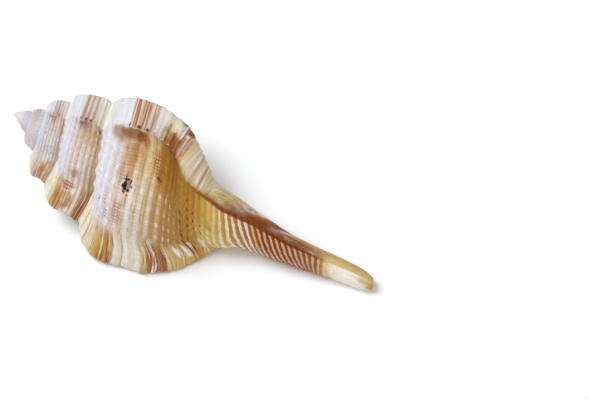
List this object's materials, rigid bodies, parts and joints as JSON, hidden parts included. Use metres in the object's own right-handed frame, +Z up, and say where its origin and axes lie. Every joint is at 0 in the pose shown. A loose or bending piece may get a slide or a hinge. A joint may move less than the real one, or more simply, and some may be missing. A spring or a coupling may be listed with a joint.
{
  "type": "sea shell",
  "caption": "Spindle-shaped sea shell with a stepped spire, flared ribs, corded and beaded whorls, an open mouth and a long narrow canal.",
  "frame": {"origin": "bottom centre of the box round the shell as it lies at rest on its lip, its belly and the end of its canal", "axes": "+X along the shell from the tip of the spire towards the end of the canal, +Z up, mouth down and towards -Y"},
  "size_m": [0.0796, 0.0318, 0.0196],
  "materials": {
    "porcellaneous_shell": "satin, cream with brown stripes between the cords"
  },
  "bodies": {
    "root": {"shell": "porcellaneous_shell"}
  },
  "joints": []
}
